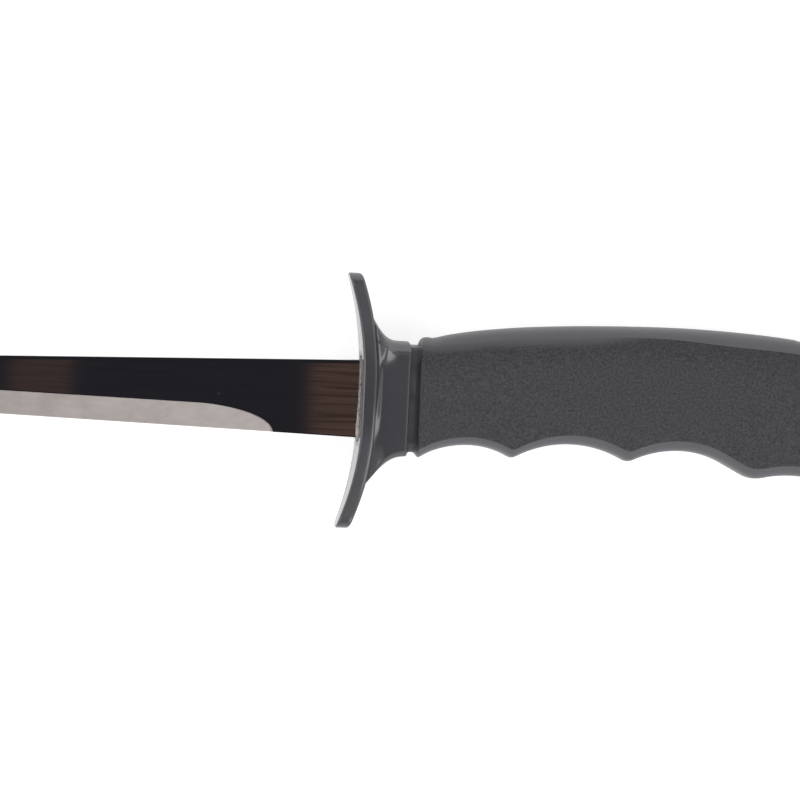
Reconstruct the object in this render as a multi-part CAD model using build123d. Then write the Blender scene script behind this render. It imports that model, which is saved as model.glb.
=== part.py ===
from build123d import *
from math import sqrt
import os

# Fillet knife with a double hand guard and a finger-grooved moulded handle.
# Working axes: X runs along the knife from the blade tip (-X) to the butt (+X),
# Y runs from the cutting edge (-Y) to the spine (+Y), Z is the thickness.
# X = 0 is the front of the guard plate and Z = 0 is the middle plane of the blade.
# The finished knife lies on its right side: see place().  Millimetres.

# ---- driving dimensions: blade
blade_length = 160.0            # tip to the front of the guard
blade_thickness = 2.0
edge_thickness = 0.16           # left between the two bevels
heel_top = 8.55                 # spine above the axis, at the guard
heel_bottom = 8.87              # edge below the axis, at the guard
spine_slope = 0.0333            # fall of the spine towards the tip, per mm
edge_slope = 0.0201             # rise of the straight edge towards the tip, per mm
belly_length = 45.0             # curved part of the edge, behind the tip
bevel_width = 5.55              # height of the ground bevel at the plunge
bevel_taper = 0.0042            # loss of bevel height towards the tip, per mm
bevel_tip_share = 0.62          # most of the blade's height that the bevel takes
plunge_x = -19.2                # where the bevel runs out at the edge
plunge_length = 17.8            # length of the curved run-out

# ---- driving dimensions: tang and its pins
tang_back_wall = 11.05          # core left behind the tang
tang_top = 8.0
tang_bottom = 4.6
tang_end_top = 5.18             # heights at the end of the tang
tang_end_bottom = 1.78
tang_end_radius = 3.0
pin_diameter = 4.0
pin_length = 9.0
front_pin_x = 34.0
rear_pin_from_end = 18.0        # from the end of the tang
pin_y = 1.8

# ---- driving dimensions: guard
guard_thickness = 18.5          # Z, at the middle
guard_tip_thickness = 9.6       # Z, at the shoulders of the tips
guard_top = 27.9
guard_bottom = 28.9
guard_plate = 3.25              # thickness of the plate along X
guard_flat = 5.0                # half height of the straight part of the front
guard_sweep_radius = 65.0       # forward sweep of both tips
guard_tip_height = 3.4          # rounded end of each tip
guard_tip_corner = 0.7
collar_end = 10.4
collar_top = 12.95
collar_bottom = 12.3
collar_thickness = 16.6
collar_corner = 2.3
collar_rear_radius = 0.4
flare_top_height = 5.0          # how far the collar opens out to meet the plate
flare_top_length = 6.5
flare_top_power = 2.5
flare_bottom_height = 7.2
flare_bottom_length = 8.9
flare_bottom_power = 2.0
flare_side_height = 0.9
flare_side_length = 2.4
pocket_depth = 0.8
pocket_margin = 1.05            # pocket wall to blade, above and below
pocket_side_margin = 1.4        # pocket wall to blade, at each side

# ---- driving dimensions: sealing bead round the blade root
bead_margin = 0.75              # bead beyond the blade, all round
bead_proud = 0.95               # bead in front of the guard
bead_radius = 0.35

# ---- driving dimensions: neck and core
neck_seal_length = 1.3
neck_flange_length = 1.35
neck_top = 12.3
neck_bottom = 11.1
neck_seal_thickness = 15.4
neck_flange_thickness = 14.6
neck_corner = 2.0
core_back_wall = 16.6           # grip left behind the core
core_top = 11.8
core_bottom = 6.2
core_thickness = 12.0
core_taper = 0.012              # loss of height at each side, per mm
core_corner = 2.0
tenon_wall = 3.9                # guard left in front of the core's tongue
tenon_top = 9.6
tenon_bottom = 6.2
tenon_thickness = 10.6

# ---- driving dimensions: grip
grip_length = 108.6
grip_thickness = 18.5
grip_front_top = 14.1
grip_front_bottom = 12.5
grip_front_corner = 2.2
lip_length = 2.6                # raised lip at the front of the back
lip_dip = 0.05
back_rises = ((12.5, 2.1), (30.0, 3.85), (53.0, 4.65))      # distance from the front, rise of the back
butt_rises = ((33.6, 3.9), (16.0, 1.2), (6.0, -3.6))        # distance from the end, rise of the back
butt_points = ((0.3, 0.1), (1.6, -11.0))                    # distance from the end, height
hook = (8.5, -16.6)             # hook of the butt: distance from the end, height
grooves = ((11.6, -9.45), (34.0, -8.28), (58.2, -8.72))     # deepest points, from the front
crests = ((20.6, -12.4), (46.8, -12.2), (75.8, -14.6))      # between the grooves, from the front
heel_ramp = (68.0, -11.2)       # start of the straight run down to the last crest
little_groove_share = 1 / 9     # groove for the little finger, ahead of the hook: depth over length
crest_radius = 2.3
heel_crest_radius = 5.0
grip_edge_radius = 2.1
hang_hole_radius = 3.0
hang_hole_from_end = 10.0
hang_hole_y = -3.0

# ---- clearances
slot_clearance = 0.1            # tang in its slots
tenon_clearance = 0.1
pin_clearance = 0.05
bead_clearance = 0.02
beyond = 5.0                    # how far a cutting tool runs past what it cuts

# ---- places worked out from the values above
tip_x = -blade_length
tip_y = heel_top - spine_slope * blade_length
belly_x = tip_x + belly_length
neck_seal_end = collar_end + neck_seal_length
grip_front = neck_seal_end + neck_flange_length
grip_end = grip_front + grip_length
core_end = grip_end - core_back_wall
tang_end = core_end - tang_back_wall
pin_positions = (front_pin_x, tang_end - rear_pin_from_end)
hang_hole_x = grip_end - hang_hole_from_end
half_blade = blade_thickness / 2


def edge_y(x):
    """Height of the cutting edge at x, straight part."""
    return -heel_bottom - edge_slope * x


def spine_y(x):
    """Height of the spine at x."""
    return heel_top + spine_slope * x


def belly_circle():
    """Centre and radius of the arc that leaves the straight edge and ends at the tip."""
    start_x, start_y = belly_x, edge_y(belly_x)
    normal = sqrt(1 + edge_slope * edge_slope)
    nx, ny = edge_slope / normal, 1 / normal
    dx, dy = tip_x - start_x, tip_y - start_y
    radius = (dx * dx + dy * dy) / (2 * (dx * nx + dy * ny))
    return start_x + radius * nx, start_y + radius * ny, radius


def belly_y(x):
    """Height of the cutting edge at x, straight or curved part."""
    if x >= belly_x:
        return edge_y(x)
    centre_x, centre_y, radius = belly_circle()
    return centre_y - sqrt(radius * radius - (x - centre_x) ** 2)


def bevel_cutter():
    """The grinding tool for the bevel on the +Z side."""
    stations = [beyond, belly_x]
    steps = 6
    stations += [belly_x + (tip_x - belly_x) * (i + 1) / (steps + 1) for i in range(steps)]
    stations += [tip_x]
    sections = []
    for x in stations:
        low = belly_y(x)
        width = bevel_width + bevel_taper * min(x, 0)
        width = max(min(width, bevel_tip_share * (spine_y(x) - low)), bead_clearance)
        fall = (half_blade - edge_thickness / 2) / width
        below = low - beyond
        below_z = half_blade - fall * (width + beyond)
        outline = Polyline(
            (x, low + width, half_blade),
            (x, below, below_z),
            (x, below, half_blade + beyond),
            (x, low + width, half_blade + beyond),
            close=True,
        )
        sections.append(make_face(outline))
    wedge = loft(sections, ruled=True)
    centre_x = plunge_x - plunge_length
    low = edge_y(centre_x)
    run_out = Pos(centre_x, low) * Ellipse(plunge_length, bevel_width + bevel_taper * centre_x)
    ground = Pos((centre_x + tip_x) / 2, 0) * Rectangle(centre_x - tip_x, 4 * heel_bottom)
    return wedge & extrude(ground + run_out, half_blade + 2 * beyond)


def blade():
    """Blade with both bevels, and the tang that goes through the guard into the core."""
    shoulder_x = pocket_depth
    belly_mid = (belly_x + tip_x) / 2
    spine = Line((shoulder_x, spine_y(shoulder_x)), (tip_x, tip_y))
    belly = ThreePointArc((tip_x, tip_y), (belly_mid, belly_y(belly_mid)), (belly_x, belly_y(belly_x)))
    edge = Line((belly_x, belly_y(belly_x)), (shoulder_x, edge_y(shoulder_x)))
    heel = Line((shoulder_x, edge_y(shoulder_x)), (shoulder_x, spine_y(shoulder_x)))
    plate = extrude(make_face([spine, belly, edge, heel]), half_blade, both=True)
    cutter = bevel_cutter()
    plate = plate - cutter - mirror(cutter, about=Plane.XY)
    return plate + tang(0) - tang_pin_set(pin_clearance)


def tang(clearance):
    """The tang, or the slot for it when it is made with a clearance."""
    start = pocket_depth - (1 if clearance else 0)
    end = tang_end + clearance
    outline = Polyline(
        (start, tang_top + clearance),
        (end, tang_end_top + clearance),
        (end, -tang_end_bottom - clearance),
        (start, -tang_bottom - clearance),
        close=True,
    )
    face = make_face(outline)
    face = fillet(face.vertices().group_by(Axis.X)[-1], tang_end_radius)
    return extrude(face, half_blade + clearance, both=True)


def tang_pin_set(clearance):
    """Both dowel pins, or their holes when they are made with a clearance."""
    pin = Cylinder(pin_diameter / 2 + clearance, pin_length + 2 * clearance)
    return Part() + [Pos(x, pin_y) * pin for x in pin_positions]


def box_between(x0, x1, y0, y1, thickness):
    """A box from x0 to x1 and y0 to y1, centred on the middle plane."""
    return Pos((x0 + x1) / 2, (y0 + y1) / 2) * Box(x1 - x0, y1 - y0, thickness)


def rounded_block(x0, x1, y0, y1, thickness, corner):
    """A block along X with rounded long edges."""
    section = RectangleRounded(y1 - y0, thickness, corner)
    return extrude(Plane((x0, (y0 + y1) / 2, 0), x_dir=(0, 1, 0), z_dir=(1, 0, 0)) * section, x1 - x0)


def sweep_x(y):
    """How far the plate's front stands forward of x = 0 at a height y."""
    rise = max(abs(y) - guard_flat, 0)
    return sqrt(guard_sweep_radius ** 2 - rise ** 2) - guard_sweep_radius


def swept_edge(x):
    """The front or rear line of the plate seen from the side, from the lower tip to the upper."""
    top_mid = (guard_flat + guard_top) / 2
    low_mid = -(guard_flat + guard_bottom) / 2
    low = [(x + sweep_x(y), y) for y in (-guard_bottom, low_mid, -guard_flat)]
    top = [(x + sweep_x(y), y) for y in (guard_flat, top_mid, guard_top)]
    return [ThreePointArc(*low), Line(low[-1], top[0]), ThreePointArc(*top)]


def facing_x(x):
    """A drawing plane across the knife at x, with its own x along Y."""
    return Plane((x, 0, 0), x_dir=(0, 1, 0), z_dir=(1, 0, 0))


def guard_plate_body():
    """The swept plate, seen from the side."""
    ends = [Line((sweep_x(y), y), (guard_plate + sweep_x(y), y)) for y in (-guard_bottom, guard_top)]
    side_view = make_face(Curve() + swept_edge(0) + swept_edge(guard_plate) + ends)
    corners = side_view.vertices().sort_by(Axis.Y)
    side_view = fillet(corners[:2] + corners[-2:], guard_tip_corner)
    return extrude(side_view, guard_thickness, both=True)


def guard_outline():
    """The guard seen from the front: a long oval with rounded tips."""
    half, half_tip = guard_thickness / 2, guard_tip_thickness / 2
    top = guard_top - guard_tip_height
    low = guard_tip_height - guard_bottom
    middle = (top + low) / 2
    oval = Curve() + [
        ThreePointArc((low, half_tip), (middle, half), (top, half_tip)),
        ThreePointArc((top, half_tip), (guard_top, 0), (top, -half_tip)),
        ThreePointArc((top, -half_tip), (middle, -half), (low, -half_tip)),
        ThreePointArc((low, -half_tip), (-guard_bottom, 0), (low, half_tip)),
    ]
    front = sweep_x(guard_bottom) - beyond
    return extrude(facing_x(front) * make_face(oval), collar_end + beyond - front)


def flare(x, start, length, height, power):
    """How far the collar stands out at x, on its way to the plate."""
    return height * (max(start - x, 0) / length) ** power


def guard_collar():
    """The collar, which opens out in a hollow curve to meet the plate."""
    start = guard_plate / 2
    top_start = start + 1.2 * flare_top_length
    sections = []
    steps = 8
    for i in range(steps + 1):
        x = start + (collar_end - start) * i / steps
        top = collar_top + flare(x, top_start, flare_top_length, flare_top_height, flare_top_power)
        low = -collar_bottom - flare(
            x, collar_end, flare_bottom_length, flare_bottom_height, flare_bottom_power
        )
        side = collar_thickness / 2 + flare(
            x, guard_plate + flare_side_length, flare_side_length, flare_side_height, 2
        )
        section = RectangleRounded(top - low, 2 * side, collar_corner)
        sections.append(facing_x(x) * Pos((top + low) / 2, 0) * section)
    return loft(sections)


def guard():
    """Plate, flared collar, front pocket, tang slot and the rear socket for the core's tongue."""
    body = (guard_plate_body() + guard_collar()) & guard_outline()
    rear = body.faces().sort_by(Axis.X)[-1]
    body = fillet(rear.edges(), collar_rear_radius)
    pocket = box_between(
        -beyond, pocket_depth,
        edge_y(0) - pocket_margin, spine_y(0) + pocket_margin,
        blade_thickness + 2 * pocket_side_margin,
    )
    return body - pocket - tang(slot_clearance) - tenon(tenon_clearance)


def tenon(clearance):
    """The core's tongue, or its socket in the guard when it is made with a clearance."""
    return rounded_block(
        tenon_wall + tenon_clearance - clearance, neck_seal_end + clearance,
        -tenon_bottom - clearance, tenon_top + clearance,
        tenon_thickness + 2 * clearance, core_corner,
    )


def blade_bead():
    """Bead of sealing compound in the pocket, round the root of the blade."""
    outer = box_between(
        -bead_proud, pocket_depth,
        edge_y(0) - bead_margin, spine_y(0) + bead_margin,
        blade_thickness + 2 * bead_margin,
    )
    front = outer.faces().sort_by(Axis.X)[0]
    outer = fillet(front.edges(), bead_radius)
    root = box_between(
        -beyond, pocket_depth + beyond,
        edge_y(pocket_depth) - bead_clearance, spine_y(pocket_depth) + bead_clearance,
        blade_thickness + 2 * bead_clearance,
    )
    return outer - root


def neck_seal():
    """Ring between the guard and the core's flange."""
    ring = rounded_block(
        collar_end, neck_seal_end, -neck_bottom, neck_top, neck_seal_thickness, neck_corner
    )
    return ring - tenon(tenon_clearance)


def core_outline():
    """The whole hard core: tongue, flange and the tapered body, before it is split."""
    flange = rounded_block(
        neck_seal_end, grip_front, -neck_bottom, neck_top, neck_flange_thickness, neck_corner
    )
    loss = core_taper * (core_end - grip_front)
    side = make_face(Polyline(
        (neck_seal_end, core_top),
        (core_end, core_top - loss),
        (core_end, loss - core_bottom),
        (neck_seal_end, -core_bottom),
        close=True,
    ))
    side = fillet(side.vertices().group_by(Axis.X)[-1], core_corner)
    return tenon(0) + flange + extrude(side, core_thickness / 2, both=True)


def core_half(side):
    """One half of the core; side is +1 for the left half and -1 for the right."""
    whole = core_outline() - tang(slot_clearance) - tang_pin_set(pin_clearance)
    reach = 2 * grip_length
    keep = Pos(0, 0, side * reach / 2) * Box(2 * reach, reach, reach)
    return whole & keep


def grip_side_view():
    """The grip seen from the side: a swelled back, a hooked butt and four finger grooves."""
    front, end, top = grip_front, grip_end, grip_front_top
    back = [(front + lip_length, top - lip_dip)]
    back += [(front + along, top + rise) for along, rise in back_rises]
    back += [(end - along, top + rise) for along, rise in butt_rises]
    back += [(end - along, y) for along, y in butt_points + (hook,)]
    deep = [(front + along, y) for along, y in grooves]
    first, second, third = [(front + along, y) for along, y in crests]
    ramp = (front + heel_ramp[0], heel_ramp[1])
    hooked = back[-1]
    little_length = hooked[0] - third[0]
    little_depth = little_groove_share * little_length
    little_deep = (third[0] + little_length / 2, (hooked[1] + third[1]) / 2 + little_depth)
    low_front = (front, -grip_front_bottom)
    outline = make_face(Curve() + [
        Line(low_front, (front, top)),
        Line((front, top), back[0]),
        Spline(back, tangents=[(1, 0.25), (-1, 0.45)]),
        ThreePointArc(hooked, little_deep, third),
        Line(third, ramp),
        ThreePointArc(ramp, deep[2], second),
        ThreePointArc(second, deep[1], first),
        ThreePointArc(first, deep[0], low_front),
    ])
    rounded = {
        first: crest_radius, second: crest_radius, third: heel_crest_radius, hooked: crest_radius,
        low_front: grip_front_corner, (front, top): grip_front_corner,
    }
    for (x, y), radius in rounded.items():
        corner = outline.vertices().sort_by_distance((x, y, 0))[0]
        outline = fillet(corner, radius)
    return outline


def grip():
    """Soft outer moulding round the core, with a hole to hang the knife by."""
    body = extrude(grip_side_view(), grip_thickness / 2, both=True)
    rims = [e for e in body.edges() if abs(abs(e.center().Z) - grip_thickness / 2) < 0.01]
    body = fillet(rims, grip_edge_radius)
    hole = Pos(hang_hole_x, hang_hole_y) * Cylinder(hang_hole_radius, grip_thickness + beyond)
    return body - core_outline() - hole


def place(piece):
    """Lays the knife on its right side, with the middle of its footprint at the origin."""
    x_middle = (grip_end - blade_length) / 2
    y_middle = (guard_top - guard_bottom) / 2
    rest = max(guard_thickness, grip_thickness) / 2
    return Pos(-x_middle, -y_middle, rest) * piece


pieces = {
    "blade": blade(),
    "blade_bead": blade_bead(),
    "guard": guard(),
    "neck_seal": neck_seal(),
    "core_left": core_half(1),
    "core_right": core_half(-1),
    "tang_pins": tang_pin_set(0),
    "grip": grip(),
}

os.makedirs("parts", exist_ok=True)
for name, piece in pieces.items():
    export_step(place(piece), f"parts/{name}.step")
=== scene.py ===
import bpy
import bmesh
from math import sin, cos, tan, pi, sqrt, radians
from mathutils import Vector, Matrix, noise


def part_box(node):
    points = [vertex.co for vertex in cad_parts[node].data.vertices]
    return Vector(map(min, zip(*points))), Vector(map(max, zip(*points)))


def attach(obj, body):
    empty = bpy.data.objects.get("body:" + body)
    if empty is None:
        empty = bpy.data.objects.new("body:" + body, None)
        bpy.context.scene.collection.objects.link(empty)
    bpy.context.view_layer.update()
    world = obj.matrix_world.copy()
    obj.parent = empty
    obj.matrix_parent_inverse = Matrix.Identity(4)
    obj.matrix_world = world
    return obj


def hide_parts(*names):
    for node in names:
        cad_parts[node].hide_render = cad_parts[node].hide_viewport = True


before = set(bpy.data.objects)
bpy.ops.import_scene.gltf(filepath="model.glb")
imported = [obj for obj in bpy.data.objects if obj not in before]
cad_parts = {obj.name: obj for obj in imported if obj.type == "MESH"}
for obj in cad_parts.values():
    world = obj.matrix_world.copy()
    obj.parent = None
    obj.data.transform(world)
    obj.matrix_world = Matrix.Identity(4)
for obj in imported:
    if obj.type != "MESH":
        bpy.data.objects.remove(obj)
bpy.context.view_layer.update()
print("frame loaded:", ", ".join(sorted(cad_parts)))

mm = 0.001

# knife axes in millimetres: x from the guard's front towards the butt, y towards the spine, z out of the side
anchor = {"collarEnd": 10.4, "upperTip": 27.9}  # the guard's rear and upper tip on those axes
_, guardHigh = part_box("guard")
bladeLow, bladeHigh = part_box("blade")
zero = Vector((guardHigh.x - anchor["collarEnd"] * mm,
               guardHigh.y - anchor["upperTip"] * mm,
               (bladeLow.z + bladeHigh.z) / 2))


def at(x, y, z):
    return zero + Vector((x, y, z)) * mm


def mix(a, b, share):
    return a + (b - a) * share


def ease(share):
    share = min(max(share, 0.0), 1.0)
    return share * share * (3 - 2 * share)


def softMax(a, b, blend):  # the larger of two, rounded over where they meet
    near = max(blend - abs(a - b), 0.0)
    return max(a, b) + near * near / (4 * blend)


def softMin(a, b, blend):
    return -softMax(-a, -b, blend)


def curveThrough(points, x):  # smooth height at x of a line through a few points
    last = len(points) - 1
    i = 0
    while i < last - 1 and x > points[i + 1][0]:
        i += 1

    def slope(k):
        before, after = points[max(k - 1, 0)], points[min(k + 1, last)]
        return (after[1] - before[1]) / (after[0] - before[0])

    (x0, y0), (x1, y1) = points[i], points[i + 1]
    wide = x1 - x0
    s = (x - x0) / wide
    return ((2 * s**3 - 3 * s**2 + 1) * y0 + (s**3 - 2 * s**2 + s) * wide * slope(i)
            + (3 * s**2 - 2 * s**3) * y1 + (s**3 - s**2) * wide * slope(i + 1))


def spread(start, end, count):  # evenly spaced values, both ends included
    return [start + (end - start) * i / (count - 1) for i in range(count)]


def skinRings(name, rings, finishes, finishOf=None, closedLength=False, capStart=True, capEnd=True,
              sharpAngle=30, grain=None):
    # joins closed rings of points into one skin; finishOf picks the finish of each strip along it
    mesh = bpy.data.meshes.new(name)
    bm = bmesh.new()
    grainLayer = bm.verts.layers.float.new("grain") if grain else None
    rows = []
    for i, ring in enumerate(rings):
        row = [bm.verts.new(at(*p)) for p in ring]
        if grain:
            for j, v in enumerate(row):
                v[grainLayer] = grain[i][j]
        rows.append(row)
    around = len(rings[0])
    pairs = list(zip(rows, rows[1:]))
    if closedLength:
        pairs.append((rows[-1], rows[0]))
    for a, b in pairs:
        for j in range(around):
            k = (j + 1) % around
            face = bm.faces.new((a[j], a[k], b[k], b[j]))
            face.smooth = True
            if finishOf:
                face.material_index = finishOf(j)
    if capStart:
        bm.faces.new(list(reversed(rows[0])))
    if capEnd:
        bm.faces.new(rows[-1])
    bmesh.ops.recalc_face_normals(bm, faces=bm.faces)
    for edge in bm.edges:
        if len(edge.link_faces) == 2:
            edge.smooth = edge.calc_face_angle(0.0) < radians(sharpAngle)
    bm.to_mesh(mesh)
    bm.free()
    piece = bpy.data.objects.new(name, mesh)
    bpy.context.collection.objects.link(piece)
    for finish in finishes:
        mesh.materials.append(finish)
    return piece


# node helpers: each adds to a node tree and gives the socket to go on from

def newFinish(name):
    finish = bpy.data.materials.new(name)
    finish.use_nodes = True
    tree = finish.node_tree
    return finish, tree, tree.nodes["Principled BSDF"]


def place(tree, stretch=(1, 1, 1)):
    # object coordinates in metres, stretched along the axes
    coords = tree.nodes.new("ShaderNodeTexCoord")
    mapping = tree.nodes.new("ShaderNodeMapping")
    mapping.inputs["Scale"].default_value = stretch
    tree.links.new(coords.outputs["Object"], mapping.inputs["Vector"])
    return mapping.outputs["Vector"]


def partsOf(tree, vector):
    node = tree.nodes.new("ShaderNodeSeparateXYZ")
    tree.links.new(vector, node.inputs[0])
    return node.outputs


def noiseOf(tree, vector, scale, detail=2.0, rough=0.5):
    node = tree.nodes.new("ShaderNodeTexNoise")
    node.inputs["Scale"].default_value = scale
    node.inputs["Detail"].default_value = detail
    node.inputs["Roughness"].default_value = rough
    tree.links.new(vector, node.inputs["Vector"])
    return node.outputs["Fac"]


def ramp(tree, value, stops):
    node = tree.nodes.new("ShaderNodeValToRGB")
    elements = node.color_ramp.elements
    while len(elements) < len(stops):
        elements.new(0.5)
    for element, (position, colour) in zip(elements, stops):
        element.position = position
        element.color = (*colour, 1)
    tree.links.new(value, node.inputs["Fac"])
    return node.outputs["Color"]


def mathOf(tree, operation, a, b=0.0):
    node = tree.nodes.new("ShaderNodeMath")
    node.operation = operation
    for socket, value in zip(node.inputs, (a, b)):
        if isinstance(value, (int, float)):
            socket.default_value = value
        else:
            tree.links.new(value, socket)
    return node.outputs[0]


def times(tree, a, b):
    return mathOf(tree, "MULTIPLY", a, b)


def mapRange(tree, value, low, high, toLow=0, toHigh=1):
    node = tree.nodes.new("ShaderNodeMapRange")
    for key, number in zip(("From Min", "From Max", "To Min", "To Max"), (low, high, toLow, toHigh)):
        node.inputs[key].default_value = number
    tree.links.new(value, node.inputs["Value"])
    return node.outputs["Result"]


def mixColour(tree, share, first, second):
    node = tree.nodes.new("ShaderNodeMix")
    node.data_type = "RGBA"
    tree.links.new(share, node.inputs["Factor"])
    for socket, value in ((node.inputs[6], first), (node.inputs[7], second)):
        if isinstance(value, tuple):
            socket.default_value = (*value, 1)
        else:
            tree.links.new(value, socket)
    return node.outputs[2]


def bumpOf(tree, height, strength, distance, under=None):
    node = tree.nodes.new("ShaderNodeBump")
    node.inputs["Distance"].default_value = distance
    if isinstance(strength, (int, float)):
        node.inputs["Strength"].default_value = strength
    else:
        tree.links.new(strength, node.inputs["Strength"])
    tree.links.new(height, node.inputs["Height"])
    if under:
        tree.links.new(under, node.inputs["Normal"])
    return node.outputs["Normal"]


def dustSpecks(tree, vector, scale, level):
    # tiny pale specks: 1 inside a speck and 0 elsewhere
    cells = tree.nodes.new("ShaderNodeTexVoronoi")
    cells.inputs["Scale"].default_value = scale
    tree.links.new(vector, cells.inputs["Vector"])
    near = mapRange(tree, cells.outputs["Distance"], 0.03, 0.06, 1, 0)
    picked = tree.nodes.new("ShaderNodeSeparateColor")
    tree.links.new(cells.outputs["Color"], picked.inputs["Color"])
    return times(tree, near, mathOf(tree, "GREATER_THAN", picked.outputs[0], level))


# the blade, with ground bevels that run out in a curved plunge ahead of the guard
blade = {
    "tip": -160.0, "shoulder": 0.8, "halfThick": 1.0, "halfEdge": 0.07,
    "halfTip": 0.45, "thinLength": 60.0,  # the blade thins over this length to the tip
    "heelTop": 8.70, "heelLow": 8.64, "spineSlope": 0.0314, "edgeSlope": 0.0236, "bellyLength": 45.0,
    "bevelHeight": 5.55, "bevelTaper": 0.0042, "bevelShare": 0.62, "bevelLeast": 0.012,
    "runOutEnd": -19.2, "runOutLength": 17.8, "runOutWall": 0.18, "wallBlend": 6.0,
    "rollTilt": 0.032, "rollLow": 0.40, "rollTop": 0.95,  # polished flats fall away a little at both edges
    "rollShares": (0.2, 0.4), "spineRound": 0.10, "spineShare": 0.3,
    "bevelRows": 16, "rowCrowding": 1.7, "rollRows": (0.03, 0.35, 0.7, 1.0), "spineRows": 4,
    # where the cross sections stand
    "ricassoAt": (-1.0, -4.0, -8.0, -12.0, -15.0, -17.5, -18.6), "plungeAt": (0.15, 0.02),
    "nearReach": 4.5, "cutStart": 0.35, "cutReach": 17.0, "longStart": 23.0, "tipCrowding": 1.5,
    "nearCount": 22, "cutCount": 36, "longCount": 34, "bellyCount": 40,
    "reflectionStreakStart": -12.0, "reflectionStreakFull": -9.5,  # grinding lines run all along; close to the guard only, warmer and more varied tints on them are a painted reflection
    "evenTints": ((0.30, (0.68, 0.67, 0.66)), (0.60, (0.80, 0.79, 0.78))),
    "reflectionStreakTints": ((0.36, (0.50, 0.49, 0.48)), (0.46, (0.72, 0.71, 0.69)),
                    (0.56, (0.84, 0.82, 0.79)), (0.66, (1.0, 0.96, 0.90))),
    "dustTint": (0.86, 0.85, 0.84), "dustRough": 0.2, "mirrorRough": (0.030, 0.019),
    "satinTints": ((0.3, (0.375, 0.340, 0.325)), (0.72, (0.425, 0.385, 0.370))),
    "satinRough": (0.30, 0.40),
}


def spineY(x):
    return blade["heelTop"] + blade["spineSlope"] * x


def edgeY(x):
    straight = -blade["heelLow"] - blade["edgeSlope"] * x
    start = blade["tip"] + blade["bellyLength"]
    if x >= start:
        return straight
    startY = -blade["heelLow"] - blade["edgeSlope"] * start
    length = sqrt(1 + blade["edgeSlope"] ** 2)
    nx, ny = blade["edgeSlope"] / length, 1 / length
    dx, dy = blade["tip"] - start, spineY(blade["tip"]) - startY
    radius = (dx * dx + dy * dy) / (2 * (dx * nx + dy * ny))
    return startY + radius * ny - sqrt(radius**2 - (x - start - radius * nx) ** 2)


def bladeStations():
    # where the cross sections stand, closest together in the plunge and at the tip
    b = blade
    runOut, bellyStart = b["runOutEnd"], b["tip"] + b["bellyLength"]
    ricasso = [b["shoulder"], *b["ricassoAt"]] + [runOut + step for step in b["plungeAt"]]
    near = [runOut - b["nearReach"] * (1 - cos(s * pi / 2)) for s in spread(0, 1, b["nearCount"])]
    cut = [runOut - b["nearReach"] - s for s in spread(b["cutStart"], b["cutReach"], b["cutCount"])]
    long = spread(runOut - b["longStart"], bellyStart, b["longCount"])
    belly = [b["tip"] + b["bellyLength"] * (1 - s) ** b["tipCrowding"]
             for s in spread(0.02, 0.992, b["bellyCount"])]
    return ricasso + near + cut + long + belly


def plungeRun(x):  # 0 where the plunge starts and 1 where it ends
    return (x - (blade["runOutEnd"] - blade["runOutLength"])) / blade["runOutLength"]


def plungeShare(x, up, width):
    # share of the bevel's depth that the plunge leaves; its wall stands square to an elliptic line
    b = blade
    run = plungeRun(x)
    if x >= b["runOutEnd"]:
        return 0.0
    if run <= 0:
        return 1.0
    inside = sqrt(run * run + up * up) + 1e-6
    steep = sqrt((run / b["runOutLength"]) ** 2 + (up / width) ** 2) / inside
    wall = ease((1 - inside) / steep / b["runOutWall"])
    return mix(1.0, wall, ease(run * b["runOutLength"] / b["wallBlend"]))


def bladeSide(x):
    # one side at x, from the edge over the bevel and the flat to the rounded spine
    b = blade
    low, top = edgeY(x), spineY(x)
    height = top - low
    toTip = ease((b["tip"] + b["thinLength"] - x) / b["thinLength"])
    half = mix(b["halfThick"], b["halfTip"], toTip * toTip)
    width = b["bevelHeight"] + b["bevelTaper"] * min(x, 0)
    width = min(width, b["bevelShare"] * height)
    run = plungeRun(x)
    boundary = low + width
    if run > 0:  # the bevel's upper line curves down to the edge
        boundary = low + max(width * sqrt(1 - min(run, 1) ** 2), b["bevelLeast"])
    fall = (half - b["halfEdge"]) / width
    lowDrop = b["rollTilt"] * b["rollLow"] / 2
    side = []
    for u in spread(0, 1, b["bevelRows"]):
        y = mix(low, boundary, 1 - (1 - u) ** b["rowCrowding"])
        depth = fall * (low + width - y) * plungeShare(x, (y - low) / width, width)
        side.append((y, half - lowDrop - depth))
    rounding = min(b["spineRound"], b["spineShare"] * height)
    flatTop = top - rounding
    rollLow = min(b["rollLow"], b["rollShares"][0] * (flatTop - boundary))
    rollTop = min(b["rollTop"], b["rollShares"][1] * (flatTop - boundary))
    for share in b["rollRows"]:
        side.append((boundary + rollLow * share, half - lowDrop * (1 - share) ** 2))
    for share in spread(0, 1, 5):
        side.append((mix(boundary + rollLow, flatTop - rollTop, 0.02 + 0.98 * share), half))
    topDrop = b["rollTilt"] * rollTop / 2
    for share in spread(0, 1, 6)[1:]:
        side.append((flatTop - rollTop * (1 - share), half - topDrop * share**2))
    edgeHalf = half - topDrop
    for a in spread(0, pi / 2, b["spineRows"] + 1)[1:]:
        side.append((flatTop + rounding * sin(a), mix(edgeHalf - rounding, edgeHalf, cos(a))))
    return side


def makeBlade(flatFinish, bevelFinish):
    rings = []
    for x in bladeStations():
        side = bladeSide(x)
        rings.append([(x, y, z) for y, z in side] + [(x, y, -z) for y, z in reversed(side)])
    sideCount = len(rings[0]) // 2

    def finishOf(j):
        k = j if j < sideCount - 1 else 2 * sideCount - 2 - j
        return 1 if 0 <= k < blade["bevelRows"] - 1 or j == 2 * sideCount - 1 else 0

    return skinRings("bladeBody", rings, [flatFinish, bevelFinish], finishOf, sharpAngle=5)


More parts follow.
